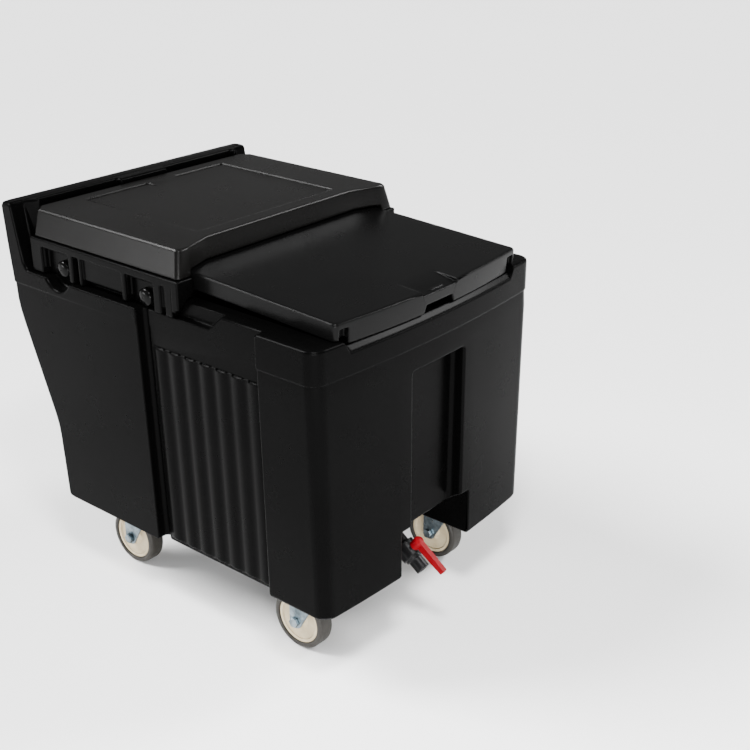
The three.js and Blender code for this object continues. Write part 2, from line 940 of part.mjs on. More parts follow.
const valveIncline = THREE.MathUtils.degToRad(valveInclineDegrees);
const valveWay = [0, -Math.cos(valveIncline), -Math.sin(valveIncline)];
const socketFaceY = bayBackY - nutThickness - 2 * seat;
const elbow = [drainX, socketFaceY - elbowSetback, drainZ];
const stemBossReach = housingRadius + stemBossProud;
const stemReach = stemBossReach + stemProud;
const leverHubHeight = stemProud + leverHubCap;

function alongValve(distance) {
  return elbow.map((value, axis) => value + valveWay[axis] * distance);
}

const ballCentre = alongValve(ballAlong);

const stemWay = [0, valveWay[2], -valveWay[1]];

function upStem(distance) {
  return ballCentre.map((value, axis) => value + stemWay[axis] * distance);
}

function valveBody() {
  const housingEnd = ballAlong + housingFront;
  const solid = union([
    rod([drainX, socketFaceY, drainZ], elbow, socketRadius),
    ball(elbow, socketRadius, smallSides),
    rod(elbow, alongValve(valveLength), valveTubeRadius),
    rod(alongValve(ballAlong - housingBack), alongValve(housingEnd), housingRadius),
    rod(
      alongValve(housingEnd - seat),
      alongValve(housingEnd + housingTaper),
      (valveTubeRadius + housingRadius) / 2,
    ),
    rod(ballCentre, upStem(stemBossReach), stemBossRadius),
  ]);
  const socketEnd = [drainX, socketFaceY - threadEngagement, drainZ];
  const behindFace = box(
    [drainX - housingRadius, socketFaceY, drainZ - housingRadius],
    [drainX + housingRadius, wellFootFrontY, drainZ + housingRadius],
  );
  const hollow = union([
    behindFace,
    rod([drainX, socketFaceY + overrun, drainZ], socketEnd, tubeRadius + seat),
    rod(socketEnd, elbow, boreRadius),
    ball(elbow, boreRadius, smallSides),
    rod(elbow, alongValve(valveLength + overrun), boreRadius),
    ball(ballCentre, ballRadius + running),
    rod(ballCentre, upStem(stemBossReach + overrun), stemRadius + running),
  ]);
  return solid.subtract(hollow);
}

function valveBall() {
  const stem = rod(ballCentre, upStem(stemReach), stemRadius, smallSides);
  const solid = ball(ballCentre, ballRadius).add(stem);
  const ends = [alongValve(ballAlong - 2 * ballRadius), alongValve(ballAlong + 2 * ballRadius)];
  return solid.subtract(rod(...ends, ballBore, smallSides));
}

// The lever is drawn level and pointing forward, then tilted about the ball to its stem
function valveLever() {
  const start = stemBossReach + running;
  const domeShares = [
    [0, 0],
    [1, 0],
    [1, 0.8],
    [0.85, 0.92],
    [0.5, 0.98],
    [0, 1],
  ];
  const profile = domeShares.map(([out, up]) => [
    leverHubRadius * out,
    start + leverHubHeight * up,
  ]);
  const barTop = start + leverHubHeight - leverCap;
  const bar = prismAlongX(
    [
      [-leverLength, barTop - leverTipDepth],
      [0, barTop - leverRootDepth],
      [0, barTop],
      [-leverLength, barTop],
    ],
    -leverWidth / 2,
    leverWidth / 2,
  );
  const socket = rod([0, 0, 0], [0, 0, stemReach + running], stemRadius + running, smallSides);
  const made = solidFrom(turned(profile)).add(bar).subtract(socket);
  const geometry = geometryFrom(made);
  geometry.rotateX(valveIncline);
  return solidFrom(geometry.translate(...ballCentre));
}

// Rear cover

function coverPlan(inset, flare) {
  const halfWidth = coverX + coverFlare * flare - inset;
  const front = coverPostY - coverFrontFlare * flare + inset;
  const mouth = front + coverMouthSetback;
  const rear = coverRearY - inset;
  const radius = coverCornerRadius;
  const postInner = halfWidth - coverPostWidth;
  const half = [
    [0, mouth],
    [postInner - coverMouthSlant, mouth],
    [postInner, front],
    ...arc([halfWidth - radius, front + radius], radius, -90, 0, cornerSteps),
    [halfWidth, rear - coverRearCorner],
    [halfWidth - coverRearCorner, rear],
  ];
  return mirrored(half);
}

function coverShell() {
  const outer = loft([
    atHeight(coverPlan(0, 1), coverFoot),
    atHeight(coverPlan(0, 0), coverHeight - coverEdge),
    atHeight(coverPlan(coverEdge, 0), coverHeight),
  ]);
  const ceiling = coverHeight - coverWall;
  const wallX = coverX - coverWall;
  const hollow = box(
    [-wallX, coverMouthY + coverWall, coverFoot - overrun],
    [wallX, coverRearY - coverWall - coverRearCorner / 2, ceiling],
  );
  const lipFoot = lidTopAt(coverMouthY + coverWall) + lidRunningGap;
  const mouth = box(
    [-railInnerX, -bodyLength, coverFoot - overrun],
    [railInnerX, coverMouthY + 2 * coverWall, lipFoot],
  );
  const insetX = coverX - insetSide;
  const inset = box(
    [-insetX, coverMouthY + insetLead, coverHeight - insetDepth],
    [insetX, rearY - insetRearSetback, coverHeight + overrun],
  );
  const insetRearY = rearY - insetRearSetback;
  const insetFoot = coverHeight - insetDepth;
  const bridge = prismAlongX(
    [
      [insetRearY - bridgeRun, insetFoot],
      [insetRearY + overrun, insetFoot],
      [insetRearY + overrun, coverHeight],
      [insetRearY, coverHeight],
    ],
    -bridgeLeft,
    bridgeRight,
  );
  return outer.subtract(hollow).subtract(mouth).subtract(inset.subtract(bridge));
}

// Height of the lid's top and underside at a place along the bin
function lidUndersideAt(y) {
  return lidFoot + (y - lidFrontY) * Math.tan(lidIncline);
}

function lidTopAt(y) {
  return lidUndersideAt(y) + lidThickness / Math.cos(lidIncline);
}

// One side of the cover's frame, with the slots round its two knobs
function coverRail(side) {
  const flangeX = coverX + coverFlare + frameProud;
  const flangeFoot = coverFoot - flangeHeight;
  const outline = [
    [railInnerX, frameFoot],
    [skirtInnerX, frameFoot],
    [skirtInnerX, seatHeight + skirtLift],
    [skirtOuterX, seatHeight + skirtLift],
    [skirtOuterX, flangeFoot],
    [flangeX, flangeFoot],
    [flangeX, frameTop],
    [railInnerX, frameTop],
  ];
  const skirt = prismAlongY(sided(outline, side), frameFrontY, frameRearY);
  const acrossX = (from, to) => [from * side, to * side].sort((a, b) => a - b);
  const ribs = [frontRibs, rearRibs].flatMap((group, number) =>
    group.map(([start, width]) => {
      const [low, high] = acrossX(skirtInnerX, flangeX);
      const y = knobYs[number] + start;
      return box([low, y, seatHeight + seat], [high, y + width, flangeFoot + seat]);
    }),
  );
  const slotTop = seatHeight + slotRise;
  const slots = slotReach.map(([ahead, behind], number) => {
    const [low, high] = acrossX(skirtInnerX + slotFloorWeb, flangeX + overrun);
    const y = knobYs[number];
    const ends = [y - knobHeadRadius - ahead, y + knobHeadRadius + behind];
    return box([low, ends[0], seatHeight], [high, ends[1], slotTop]);
  });
  const thinSlotX = acrossX(skirtInnerX + slotFloorWeb, flangeX + overrun);
  slots.push(
    box(
      [thinSlotX[0], knobYs[1] - thinRibLead + thinRibWidth, seatHeight],
      [thinSlotX[1], knobYs[1] - rearRibLead, slotTop],
    ),
  );
  const holes = knobYs.map((y) =>
    rod(
      [(skirtInnerX - overrun) * side, y, knobZ],
      [(skirtOuterX + overrun) * side, y, knobZ],
      knobShankRadius + running,
      smallSides,
    ),
  );
  const webs = slotReach.map(([ahead, behind], number) => {
    const [low, high] = acrossX(skirtInnerX, skirtInnerX + slotFloorWeb);
    const y = knobYs[number];
    const ends = [y - knobHeadRadius - ahead - seat, y + knobHeadRadius + behind + seat];
    return box([low, ends[0], seatHeight + seat], [high, ends[1], slotTop + seat]);
  });
  const [ledgeLow, ledgeHigh] = acrossX(wellX - ledgeOverhang, railInnerX + seat);
  const guideStart = coverPostY;
  const guideEnd = rearBarY - seat;
  const guide = prismAlongX(
    [
      [guideStart, frameFoot],
      [guideEnd, frameFoot],
      [guideEnd, lidUndersideAt(guideEnd) - running],
      [guideStart, lidUndersideAt(guideStart) - running],
    ],
    ledgeLow,
    ledgeHigh,
  );
  const end = box(
    [acrossX(skirtInnerX, flangeX)[0], frameFrontY, seatHeight + skirtLift],
    [acrossX(skirtInnerX, flangeX)[1], frameFrontY + gussetWidth, flangeFoot + seat],
  );
  const slant = [
    [flangeX + overrun, seatHeight - overrun],
    [flangeX + overrun, seatHeight + skirtLift],
    [flangeX - gussetRun, seatHeight + skirtLift + gussetHeight],
    [flangeX - gussetRun, seatHeight - overrun],
  ];
  const underGusset = prismAlongY(
    sided(slant, side),
    frameFrontY - overrun,
    frameFrontY + gussetWidth / 2,
  );
  return union([skirt, end, ...ribs])
    .subtract(union(slots))
    .add(union(webs))
    .subtract(union(holes))
    .subtract(underGusset)
    .add(guide);
}

function coverRearBar() {
  const end = railInnerX - seat;
  return box([-end, rearBarY, frameFoot], [end, frameRearY, frameTop]);
}

function knob(side, y) {
  const headStart = skirtInnerX + slotFloorWeb + running;
  const shankEnd = upstandX - knobReach;
  const shankLength = headStart - shankEnd;
  const domeShares = [
    [1, 0],
    [0.86, 0.5],
    [0.5, 0.86],
  ];
  const rimTop = shankLength + knobRim;
  const profile = [
    [0, 0],
    [knobShankRadius, 0],
    [knobShankRadius, shankLength],
    [knobHeadRadius, shankLength],
    ...domeShares.map(([out, up]) => [knobHeadRadius * out, rimTop + knobDome * up]),
    [0, rimTop + knobDome],
  ];
  const geometry = turned(profile).rotateY((side * Math.PI) / 2);
  return solidFrom(geometry.translate(shankEnd * side, y, knobZ));
}

// Sliding lid, drawn level with its front corners at y = 0 and its underside at z = 0
function slidingLid() {
  const ring = (inset, height) =>
    atHeight(
      plan({
        halfWidth: lidX - inset,
        front: inset,
        rear: lidLength - inset,
        bow: lidBow,
        frontRadius: lidCornerRadius,
        rearRadius: lidCornerRadius,
      }),
      height,
    );
  const slab = loft([
    ring(0, 0),
    ...edgeShares.toReversed().map(([drop, inset]) =>
      ring(lidEdge * inset, lidThickness - lidEdge * drop),
    ),
  ]);
  const front = -lidBow;
  const lipX = sillX - lidLipSideGap;
  const lipBand = loft([ring(0, -lidLipDrop), ring(0, seat)]).subtract(
    loft([ring(lidLipDepth, -lidLipDrop - overrun), ring(lidLipDepth, seat + overrun)]),
  );
  const lipReach = box([-lipX, front - overrun, -lidLipDrop - overrun], [lipX, lidLipDepth, overrun]);
  const thumbFloor = lidThickness - thumbDrop;
  const thumbSlope = prismAlongX(
    [
      [front - overrun, thumbFloor],
      [front, thumbFloor],
      [front + thumbRun, lidThickness],
      [front + thumbRun, lidThickness + overrun],
      [front - overrun, lidThickness + overrun],
    ],
    -thumbHalfWidth,
    thumbHalfWidth,
  );
  const barY = front + thumbBarSetback;
  const thumbBar = box(
    [-thumbBarHalfWidth, barY, thumbFloor - seat],
    [thumbBarHalfWidth, barY + thumbBarDepth, thumbFloor + thumbBarHeight],
  );
  const pull = prismAlongY(
    [
      [-pullHalfWidth - pullSlant, -lidLipDrop - overrun],
      [pullHalfWidth + pullSlant, -lidLipDrop - overrun],
      [pullHalfWidth, pullHeight - lidLipDrop],
      [-pullHalfWidth, pullHeight - lidLipDrop],
    ],
    front - overrun,
    front + pullDepth,
  );
  const endNotches = mirroredX((side) => {
    const start = lidX - endNotchInset;
    const ends = [start, start + endNotchWidth].map((x) => x * side);
    const [low, high] = ends.sort((a, b) => a - b);
    return box([low, front - overrun, -overrun], [high, endNotchDepth, endNotchHeight]);
  });
  return slab
    .add(lipBand.intersect(lipReach))
    .subtract(thumbSlope)
    .subtract(pull)
    .subtract(endNotches)
    .add(thumbBar);
}

// Casters, drawn with the swivel axis at x = y = 0 and the wheel trailing towards +Y

const plateFoot = baseHeight - seat - plateThickness;
const raceFoot = plateFoot - raceHeight;
const crownTop = raceFoot - crownGap;
const crownFoot = crownTop - crownThickness;
const legInnerX = wheelWidth / 2 + forkGap;
const legOuterX = legInnerX + legThickness;

function casterPlate() {
  const plate = box(
    [-plateWidth / 2, -plateLength / 2, plateFoot],
    [plateWidth / 2, plateLength / 2, plateFoot + plateThickness],
  );
  const race = rod([0, 0, raceFoot], [0, 0, plateFoot + seat], raceRadius);
  const heads = [];
  for (const sideX of [1, -1]) {
    for (const sideY of [1, -1]) {
      const x = sideX * (plateWidth / 2 - plateBoltInset);
      const y = sideY * (plateLength / 2 - plateBoltInset);
      const head = hexagon(boltHeadFlats, [x, y]);
      heads.push(prismAlongZ(head, plateFoot - boltHeadHeight, plateFoot + seat));
    }
  }
  const pinHole = rod([0, 0, 0], [0, 0, baseHeight], kingpinRadius + seat, smallSides);
  return union([plate, race, ...heads]).subtract(pinHole);
}

function kingpin() {
  const head = crownFoot - running;
  return solidFrom(
    turned(
      [
        [0, head - kingpinHead],
        [kingpinHeadRadius, head - kingpinHead],
        [kingpinHeadRadius, head],
        [kingpinRadius, head],
        [kingpinRadius, baseHeight - 2 * seat],
        [0, baseHeight - 2 * seat],
      ],
      smallSides,
    ),
  );
}

// A leg in the plane of the wheel: wide at the crown, round at the axle
function legOutline() {
  const axle = [casterTrail, axleHeight];
  return [
    [-crownRadius, crownTop],
    [-crownRadius, crownTop - crownThickness],
    ...arc(axle, legEndRadius, 195, 360, cornerSteps + 2),
    [casterTrail + legEndRadius, crownTop - legShoulder],
    [casterTrail + legEndRadius / 2, crownTop],
  ];
}

function fork() {
  const legs = mirroredX((side) => {
    const reach = [legInnerX, legOuterX].map((x) => x * side).sort((a, b) => a - b);
    return prismAlongX(legOutline(), ...reach);
  });
  const crown = box(
    [-legOuterX, -crownRadius, crownFoot],
    [legOuterX, casterTrail + legEndRadius / 2, crownTop],
  );
  const disc = rod([0, 0, crownFoot], [0, 0, crownTop], crownRadius);
  const pinHole = rod([0, 0, 0], [0, 0, baseHeight], kingpinRadius + running, smallSides);
  const axleHole = rod(
    [-wheelWidth, casterTrail, axleHeight],
    [wheelWidth, casterTrail, axleHeight],
    axleRadius + seat,
    smallSides,
  );
  return union([legs, crown, disc]).subtract(pinHole).subtract(axleHole);
}

// Turned about the wheel's axle, with a flat of the many-sided round at the floor
function alongAxle(profile, sides = roundSides) {
  const geometry = turned(profile, sides).rotateZ(Math.PI / sides).rotateY(Math.PI / 2);
  return solidFrom(geometry.translate(0, casterTrail, axleHeight));
}

function wheelCore() {
  const half = wheelWidth / 2;
  const rim = axleHeight - tyreDepth - seat;
  const hub = half + hubProud;
  const bore = sleeveRadius + running;
  const web = half - rimLip / 2 - webDish;
  const face = half - rimLip / 2;
  return alongAxle(
    [
      [bore, -hub],
      [hubRadius, -hub],
      [hubRadius + webDish, -web],
      [rim - rimLip, -web],
      [rim - rimLip / 2, -face],
      [rim, -face],
      [rim, face],
      [rim - rimLip / 2, face],
      [rim - rimLip, web],
      [hubRadius + webDish, web],
      [hubRadius, hub],
      [bore, hub],
      [bore, -hub],
    ],
    wheelSides,
  );
}

function tyre() {
  const half = wheelWidth / 2;
  const tread = axleHeight / Math.cos(Math.PI / wheelSides);
  const inner = axleHeight - tyreDepth;
  const shoulder = edgeShares.map(([drop, side]) => [
    tread - tyreShoulder * drop,
    half - tyreShoulder * side,
  ]);
  const upper = [...shoulder, [inner + tyreInnerEdge, half], [inner, half - tyreInnerEdge]];
  const lower = upper.map(([radius, place]) => [radius, -place]).reverse();
  return alongAxle([...lower, ...upper, lower[0]], wheelSides);
}

function axleSleeve() {
  const half = legInnerX - seat;
  const bore = axleRadius + seat;
  return alongAxle(
    [
      [bore, -half],
      [sleeveRadius, -half],
      [sleeveRadius, half],
      [bore, half],
      [bore, -half],
    ],
    smallSides,
  );
}

function axleBolt() {
  const headFrom = -legOuterX - seat - axleHeadHeight;
  const end = legOuterX + seat + axleNutHeight + legThickness;
  const centre = [casterTrail, axleHeight];
  const head = prismAlongX(hexagon(axleHeadFlats, centre), headFrom, headFrom + axleHeadHeight);
  const shank = rod(
    [headFrom + axleHeadHeight / 2, casterTrail, axleHeight],
    [end, casterTrail, axleHeight],
    axleRadius,
    smallSides,
  );
  return head.add(shank);
}

function axleNut() {
  const from = legOuterX + seat;
  const nut = prismAlongX(hexagon(axleHeadFlats, [casterTrail, axleHeight]), from, from + axleNutHeight);
  const hole = rod(
    [0, casterTrail, axleHeight],
    [2 * wheelWidth, casterTrail, axleHeight],
    axleRadius + seat,
    smallSides,
  );
  return nut.subtract(hole);
}

// Materials
const materials = {
  body: { color: 0x1d1d1e, roughness: 0.5, metalness: 0 },
  cover: { color: 0x232324, roughness: 0.45, metalness: 0 },
  knob: { color: 0x0a0a0b, roughness: 0.12, metalness: 0 },
  rubber: { color: 0x151515, roughness: 0.8, metalness: 0 },
  valve: { color: 0x222224, roughness: 0.4, metalness: 0 },
  lever: { color: 0xd2141c, roughness: 0.35, metalness: 0 },
  steel: { color: 0xb8c4cc, roughness: 0.35, metalness: 1 },
  wheel: { color: 0xd8cfb9, roughness: 0.5, metalness: 0 },
  tyre: { color: 0x77736c, roughness: 0.6, metalness: 0 },
};

function piece(name, solid, finish) {
  const mesh = new THREE.Mesh(geometryFrom(solid), new THREE.MeshStandardMaterial(materials[finish]));
  mesh.name = name;
  return mesh;
}

const bin = new THREE.Group();
bin.add(piece("tub_body", tubBody(), "body"));
bin.add(piece("drain_shelf", shelf(), "cover"));
bin.add(piece("drain_bulkhead", bulkhead(), "valve"));
bin.add(piece("bulkhead_gasket", gasket(), "rubber"));
bin.add(piece("bulkhead_nut", bulkheadNut(), "valve"));
bin.add(piece("valve_body", valveBody(), "valve"));
bin.add(piece("valve_ball", valveBall(), "steel"));
bin.add(piece("valve_lever", valveLever(), "lever"));
bin.add(piece("cover_shell", coverShell(), "cover"));
bin.add(piece("cover_rear_bar", coverRearBar(), "body"));

for (const [side, sideName] of [
  [-1, "left"],
  [1, "right"],
]) {
  bin.add(piece(`cover_rail_${sideName}`, coverRail(side), "body"));
  bin.add(piece(`front_knob_${sideName}`, knob(side, knobYs[0]), "knob"));
  bin.add(piece(`rear_knob_${sideName}`, knob(side, knobYs[1]), "knob"));
}

const lid = piece("sliding_lid", slidingLid(), "cover");
lid.position.set(0, lidFrontY, lidFoot);
lid.rotation.x = lidIncline;
bin.add(lid);

const casterPlaces = {
  front_left: [-casterX, frontY + casterFrontSetback],
  front_right: [casterX, frontY + casterFrontSetback],
  rear_left: [-casterX, rearY - casterRearSetback],
  rear_right: [casterX, rearY - casterRearSetback],
};
for (const [place, [x, y]] of Object.entries(casterPlaces)) {
  const caster = new THREE.Group();
  caster.position.set(x, y, 0);
  caster.add(piece(`${place}_caster_plate`, casterPlate(), "steel"));
  caster.add(piece(`${place}_kingpin`, kingpin(), "steel"));
  caster.add(piece(`${place}_fork`, fork(), "steel"));
  caster.add(piece(`${place}_wheel_core`, wheelCore(), "wheel"));
  caster.add(piece(`${place}_tyre`, tyre(), "tyre"));
  caster.add(piece(`${place}_axle_sleeve`, axleSleeve(), "steel"));
  caster.add(piece(`${place}_axle_bolt`, axleBolt(), "steel"));
  caster.add(piece(`${place}_axle_nut`, axleNut(), "steel"));
  bin.add(caster);
}

// The origin goes under the middle of everything, so the reach of the lever counts
bin.updateMatrixWorld(true);
const reach = new THREE.Box3().setFromObject(bin, true);
bin.position.y = -(reach.min.y + reach.max.y) / 2;

const root = new THREE.Group();
root.add(bin);
export default root;
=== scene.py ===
"""Looks of the mobile ice bin: finishes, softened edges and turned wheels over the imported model."""

import math

import bmesh
import bpy
from mathutils import Matrix, Vector


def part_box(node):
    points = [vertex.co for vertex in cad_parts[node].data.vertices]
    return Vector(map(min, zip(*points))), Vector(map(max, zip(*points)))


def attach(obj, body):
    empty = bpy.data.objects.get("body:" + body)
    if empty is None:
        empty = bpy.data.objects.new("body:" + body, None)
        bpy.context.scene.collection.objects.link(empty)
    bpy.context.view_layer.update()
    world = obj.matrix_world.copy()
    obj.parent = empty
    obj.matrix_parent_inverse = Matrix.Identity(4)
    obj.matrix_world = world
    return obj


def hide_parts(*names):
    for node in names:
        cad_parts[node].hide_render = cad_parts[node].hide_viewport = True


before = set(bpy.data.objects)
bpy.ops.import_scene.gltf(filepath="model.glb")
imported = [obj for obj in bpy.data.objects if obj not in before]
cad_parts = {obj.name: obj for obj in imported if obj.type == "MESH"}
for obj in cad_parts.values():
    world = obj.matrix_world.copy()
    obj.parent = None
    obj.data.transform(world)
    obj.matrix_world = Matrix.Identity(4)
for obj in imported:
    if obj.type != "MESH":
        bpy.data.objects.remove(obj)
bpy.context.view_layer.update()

MM = 0.001

# Camera that was fitted to the photograph
CAMERA_PLACE = (-1.5197, -1.4741, 1.3328)
CAMERA_AZIMUTH = -51.273
CAMERA_ELEVATION = 23.949
CAMERA_ROLL = 0.453
LENS_MM = 59.4
SENSOR_MM = 36
SHIFT = (-0.0182, -0.0025)

# Surroundings
WORLD_STRENGTH = 1.3
OVERHEAD_SHARE = 0.2
HORIZON_FADE = (0.02, 0.13)
FLOOR_SIZE = 40
FLOOR_DROP = 0.4 * MM

# Which edges are rounded, and how far
EDGE_ANGLE = math.radians(50)
CREASE_ANGLE = math.radians(28)
DISSOLVE_ANGLE = math.radians(0.6)
MERGE = 0.02 * MM
MAX_ROUND = 6 * MM
ROOM_SHARE = 0.42
LEAST_SHARE = 0.02
LEAST_TURN_TANGENT = 0.01
STRAIGHT_ANGLE = math.radians(25)
NORMAL_WEIGHT = 80

# Rounding that is only shaded
SOFT_EDGE = 3.5 * MM
EDGE_SAMPLES = 6

# Rounding of each piece
TUB_EDGE = 5 * MM
COVER_EDGE = 4 * MM
RAIL_EDGE = 3 * MM
LID_EDGE = 2.5 * MM
LEVER_EDGE = 2.2 * MM
VALVE_EDGE = 1.2 * MM
FORK_EDGE = 1.2 * MM
SHELF_EDGE = 1 * MM
STEEL_EDGE = 1 * MM
FITTING_EDGE = 0.8 * MM

# Wheels and knobs
WHEEL_SIDES = 96
KNOB_SIDES = 48
TYRE_DEPTH = 10.5 * MM
TYRE_SHOULDER = 6 * MM
TYRE_EDGE = 2 * MM
RIM_LIP = 5 * MM
RIM_EDGE = 0.9 * MM
WEB_FILLET = 3 * RIM_EDGE
WEB_DISH = 3.5 * MM
HUB_RADIUS = 15 * MM
HUB_PROUD = 0.8 * MM
HUB_EDGE = 1.5 * MM
HUB_BORE = 6.9 * MM
KNOB_DOME = 6 * MM
KNOB_RIM = 5 * MM
KNOB_EDGE = 0.8 * MM
KNOB_SHANK = 5 * MM
KNOB_BORE = 0.05 * MM
DOME_STEPS = 9

PLACES = ("front_left", "front_right", "rear_left", "rear_right")
KNOBS = ("front_knob_left", "front_knob_right", "rear_knob_left", "rear_knob_right")


def span(node):
    """Lowest and highest corner of a CAD node."""
    low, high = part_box(node)
    return Vector(low), Vector(high)


def middle(node):
    low, high = span(node)
    return (low + high) / 2


# Materials


class Finish:
    """A procedural finish: a principled shader with nodes on object coordinates."""

    def __init__(self, name, **values):
        self.material = bpy.data.materials.new(name)
        self.material.use_nodes = True
        self.nodes = self.material.node_tree.nodes
        self.links = self.material.node_tree.links
        self.shader = self.nodes["Principled BSDF"]
        for socket, value in values.items():
            self.shader.inputs[socket.replace("_", " ")].default_value = value
        self.place = self.nodes.new("ShaderNodeTexCoord").outputs["Object"]
        self.height = None

    def noise(self, scale, detail=3.0, roughness=0.5, stretch=None):
        place = self.place
        if stretch:
            mapping = self.nodes.new("ShaderNodeMapping")
            mapping.inputs["Scale"].default_value = stretch
            self.links.new(place, mapping.inputs["Vector"])
            place = mapping.outputs["Vector"]
        node = self.nodes.new("ShaderNodeTexNoise")
        node.inputs["Scale"].default_value = scale
        node.inputs["Detail"].default_value = detail
        node.inputs["Roughness"].default_value = roughness
        self.links.new(place, node.inputs["Vector"])
        return node.outputs["Fac"]

    def ramp(self, factor, stops, socket):
        """Turns a factor into a colour or a value, from (place, colour) stops."""
        node = self.nodes.new("ShaderNodeValToRGB")
        elements = node.color_ramp.elements
        while len(elements) < len(stops):
            elements.new(0.5)
        for element, (place, colour) in zip(elements, stops):
            element.position = place
            element.color = colour if len(colour) == 4 else (*colour, 1)
        self.links.new(factor, node.inputs["Fac"])
        self.links.new(node.outputs["Color"], self.shader.inputs[socket])
        return self

    def shades(self, factor, dark, light, socket="Base Color", low=0.3, high=0.7):
        return self.ramp(factor, [(low, dark), (high, light)], socket)

    def spread(self, factor, low, high, socket="Roughness"):
        return self.shades(factor, (low,) * 3, (high,) * 3, socket)

    def soften_edges(self, radius):
        """Shades each edge as if it were rounded, without changing the mesh."""
        node = self.nodes.new("ShaderNodeBevel")
        node.samples = EDGE_SAMPLES
        node.inputs["Radius"].default_value = radius
        self.height = node.outputs["Normal"]
        self.links.new(self.height, self.shader.inputs["Normal"])
        return self

    def bump(self, factor, strength, distance):
        node = self.nodes.new("ShaderNodeBump")
        node.inputs["Strength"].default_value = strength
        node.inputs["Distance"].default_value = distance
        self.links.new(factor, node.inputs["Height"])
        if self.height:
            self.links.new(self.height, node.inputs["Normal"])
        self.height = node.outputs["Normal"]
        self.links.new(self.height, self.shader.inputs["Normal"])
        return self


def moulded_plastic(name, dark, light, rough, specular):
    """Rotationally moulded plastic: fine grain, faint waviness and slightly uneven gloss."""
    finish = Finish(name, Specular_IOR_Level=specular)
    finish.shades(finish.noise(7, 4), dark, light)
    finish.spread(finish.noise(18, 5, 0.6), *rough)
    finish.soften_edges(SOFT_EDGE)
    finish.bump(finish.noise(1400, 2), 0.05, 0.0002)
    finish.bump(finish.noise(9, 1), 0.06, 0.0008)
    return finish.material


BODY = moulded_plastic(
    "body_plastic_black", (0.0006, 0.0006, 0.0006), (0.0009, 0.0009, 0.0009), (0.25, 0.28), 0.018
)
COVER = moulded_plastic(
    "cover_plastic_black", (0.0017, 0.0016, 0.0015), (0.0021, 0.002, 0.0019), (0.24, 0.28), 0.08
)
LID = moulded_plastic(
    "lid_plastic_black", (0.0012, 0.0012, 0.0012), (0.0016, 0.0016, 0.0016), (0.24, 0.28), 0.06
)
FRAME = moulded_plastic(
    "frame_plastic_black", (0.0006, 0.0006, 0.0006), (0.0009, 0.0009, 0.0009), (0.22, 0.28), 0.025
)
VALVE = moulded_plastic(
    "valve_plastic_black", (0.002, 0.002, 0.0022), (0.004, 0.004, 0.0042), (0.28, 0.36), 0.1
)


def glossy_plastic(name, dark, light, rough, specular):
    finish = Finish(name, Specular_IOR_Level=specular)
    finish.shades(finish.noise(60, 3), dark, light)
    finish.spread(finish.noise(140, 3), *rough)
    finish.bump(finish.noise(500, 2), 0.05, 0.0002)
    return finish.material


KNOB = glossy_plastic(
    "knob_black", (0.001, 0.001, 0.001), (0.002, 0.002, 0.002), (0.1, 0.14), 0.06
)
LEVER = glossy_plastic(
    "lever_red", (0.13, 0.0002, 0.003), (0.15, 0.0003, 0.004), (0.34, 0.4), 0.04
)


def zinc_steel():
    finish = Finish("zinc_plated_steel", Metallic=1.0)
    finish.shades(finish.noise(55, 5, 0.6), (0.06, 0.08, 0.09), (0.26, 0.31, 0.34))
    finish.spread(finish.noise(90, 5, 0.65), 0.22, 0.46)
    finish.bump(finish.noise(700, 3), 0.1, 0.0002)
    return finish.material


ZINC = zinc_steel()


def polished_steel():
    finish = Finish("polished_steel", Metallic=1.0)
    finish.shades(finish.noise(40, 2), (0.7, 0.7, 0.71), (0.82, 0.82, 0.83))
    finish.spread(finish.noise(120, 3), 0.08, 0.16)
    return finish.material


POLISHED = polished_steel()


def cream_plastic():
    finish = Finish("wheel_cream", Specular_IOR_Level=0.4)
    finish.shades(finish.noise(45, 5, 0.6), (0.34, 0.275, 0.17), (0.44, 0.37, 0.25))
    finish.spread(finish.noise(80, 4), 0.45, 0.6)
    finish.bump(finish.noise(900, 2), 0.1, 0.0002)
    return finish.material


CREAM = cream_plastic()


def rubber(name, dark, light, rough):
    finish = Finish(name, Specular_IOR_Level=0.15)
    finish.shades(finish.noise(70, 5, 0.6), dark, light)
    finish.spread(finish.noise(160, 4), *rough)
    finish.bump(finish.noise(1200, 3), 0.15, 0.0002)
    return finish.material


TYRE = rubber("tyre_grey", (0.018, 0.0165, 0.0145), (0.027, 0.025, 0.022), (0.4, 0.5))
GASKET = rubber("gasket_black", (0.01, 0.01, 0.01), (0.02, 0.02, 0.02), (0.6, 0.75))


# Pieces


def finished(piece, material, body, *nodes):
    """Gives a piece its finish and its body, and hides the CAD nodes it stands for."""
    piece.data.materials.clear()
    piece.data.materials.append(material)
    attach(piece, body)
    if nodes:
        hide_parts(*nodes)
    return piece


def is_sharp(edge):
    return len(edge.link_faces) == 2 and edge.calc_face_angle(0) > EDGE_ANGLE


def room(edge, vertex):
    """How far an edge can be rounded at one end, from the edges beside it there."""
    along = edge.other_vert(vertex).co - vertex.co
    limits = [MAX_ROUND]
    for face in edge.link_faces:
        for other in face.edges:
            if other is edge or vertex not in other.verts:
                continue
            away = vertex.co - other.other_vert(vertex).co
            turn = along.angle(away, 0)
            if is_sharp(other):
                limits.append(ROOM_SHARE * away.length / max(math.tan(turn / 2), LEAST_TURN_TANGENT))
            elif turn > STRAIGHT_ANGLE:
                limits.append(ROOM_SHARE * away.length * math.sin(turn))
    return min(limits)


def weigh_edges(mesh, width):
    """Marks each sharp edge with the share of the width that it has room for.

    An edge that leans is rounded less than a square one, and a shallow one stays a crease.
    """
    weights = mesh.edges.layers.float.new("bevel_weight_edge")
    for edge in mesh.edges:
        if is_sharp(edge):
            limit = min(room(edge, vertex) for vertex in edge.verts)
            steepness = min(edge.calc_face_angle(0) / (math.pi / 2), 1)
            edge[weights] = max(min(limit / width, 1) * steepness**2, LEAST_SHARE)
        elif edge.calc_face_angle(0) > CREASE_ANGLE:
            edge.smooth = False


